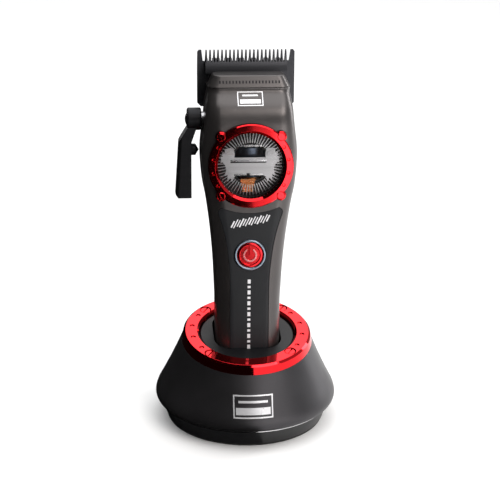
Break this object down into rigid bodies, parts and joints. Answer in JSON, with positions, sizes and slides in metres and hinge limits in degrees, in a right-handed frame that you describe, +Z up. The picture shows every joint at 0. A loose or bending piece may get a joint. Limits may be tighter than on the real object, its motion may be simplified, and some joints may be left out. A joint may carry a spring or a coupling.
{
  "type": "hair clipper",
  "caption": "Cordless hair clipper standing in a round charging stand: toothed blade set, taper lever, round motor window, power button.",
  "frame": {"origin": "centre of the stand's rubber foot, on the table", "axes": "+Z up; the clipper faces -Y; the taper lever is on -X; the clipper leans 3.7 degrees back in the stand"},
  "size_m": [0.087, 0.0867, 0.1768],
  "materials": {
    "stand_black": "satin",
    "skirt_black": "satin",
    "bright_trim": "polished",
    "foot_rubber": "matte",
    "red_metal": "gloss",
    "body_black": "satin",
    "panel_charcoal": "matte",
    "dark_plastic": "matte",
    "blade_steel": "satin",
    "bright_steel": "brushed",
    "dark_steel": "satin",
    "ballast_iron": "rough",
    "copper": "enamelled",
    "contact_gold": "polished",
    "lens_glass": "clear",
    "board_green": "satin",
    "cell_wrap": "gloss",
    "collar_blue": "satin",
    "button_red": "satin",
    "motor_grey": "satin"
  },
  "bodies": {
    "stand": {"stand_shell": "stand_black", "stand_skirt": "skirt_black", "skirt_trim": "bright_trim", "foot_pad": "foot_rubber", "ballast_weight": "ballast_iron", "ballast_screws": "bright_steel", "charge_board": "board_green", "socket_cup": "dark_plastic", "contact_housing": "dark_plastic", "power_inlet": "dark_plastic", "stand_ring": "red_metal", "ring_screws": "red_metal"},
    "clipper": {"front_shell": "body_black", "rear_shell": "body_black", "end_cap": "dark_plastic", "charge_contacts": "contact_gold", "casing_screws": "dark_steel", "front_panel": "panel_charcoal", "nose_cap": "body_black", "bezel_ring": "red_metal", "bezel_screws": "red_metal", "window_lens": "lens_glass", "fin_ring": "bright_steel", "motor_bracket": "bright_steel", "bracket_screws": "bright_steel", "motor_can": "motor_grey", "motor_coil": "copper", "motor_frame": "dark_steel", "battery": "cell_wrap", "control_board": "board_green", "power_switch": "dark_plastic", "button_collar": "collar_blue"},
    "contact_left": {"contact_pin_left": "contact_gold"},
    "contact_right": {"contact_pin_right": "contact_gold"},
    "button": {"power_button": "button_red"},
    "blade_carriage": {"fixed_blade": "blade_steel", "blade_carrier": "dark_steel", "blade_screws": "dark_steel", "tension_spring": "bright_steel"},
    "cutter": {"cutter_blade": "blade_steel", "drive_yoke": "dark_plastic"},
    "rotor": {"motor_shaft": "bright_steel", "eccentric_cam": "bright_steel"},
    "lever": {"taper_lever": "dark_steel", "lever_shaft": "bright_steel", "lever_screw_cap": "bright_trim", "detent_knob": "dark_steel"}
  },
  "joints": [
    {"name": "clipper_lift", "type": "slide", "parent": "stand", "child": "clipper", "axis": [0, 0.0645, 0.9979], "range_m": [0, 0.06]},
    {"name": "contact_left_press", "type": "slide", "parent": "stand", "child": "contact_left", "axis": [0, 0.0645, 0.9979], "range_m": [-0.001, 0], "stiffness_N_per_m": 120},
    {"name": "contact_right_press", "type": "slide", "parent": "stand", "child": "contact_right", "axis": [0, 0.0645, 0.9979], "range_m": [-0.001, 0], "stiffness_N_per_m": 120},
    {"name": "button_press", "type": "slide", "parent": "clipper", "child": "button", "axis": [0, 0.9979, -0.0645], "range_m": [0, 0.0008], "stiffness_N_per_m": 700},
    {"name": "lever_swing", "type": "hinge", "parent": "clipper", "child": "lever", "pos_m": [-0.024, 0.00433, 0.14702], "axis": [1, 0, 0], "range_deg": [-60, 0]},
    {"name": "taper_slide", "type": "slide", "parent": "clipper", "child": "blade_carriage", "axis": [0, 0.0645, 0.9979], "range_m": [-0.0018, 0]},
    {"name": "cutter_stroke", "type": "slide", "parent": "clipper", "child": "cutter", "axis": [1, 0, 0], "range_m": [-0.0012, 0.0012]},
    {"name": "motor_spin", "type": "hinge", "parent": "clipper", "child": "rotor", "pos_m": [0, 0.00334, 0.13175], "axis": [0, 0.0645, 0.9979], "continuous": true}
  ],
  "couplings": [
    {"joint": "taper_slide", "follows": "lever_swing", "m_per_rad": 0.0017189}
  ]
}
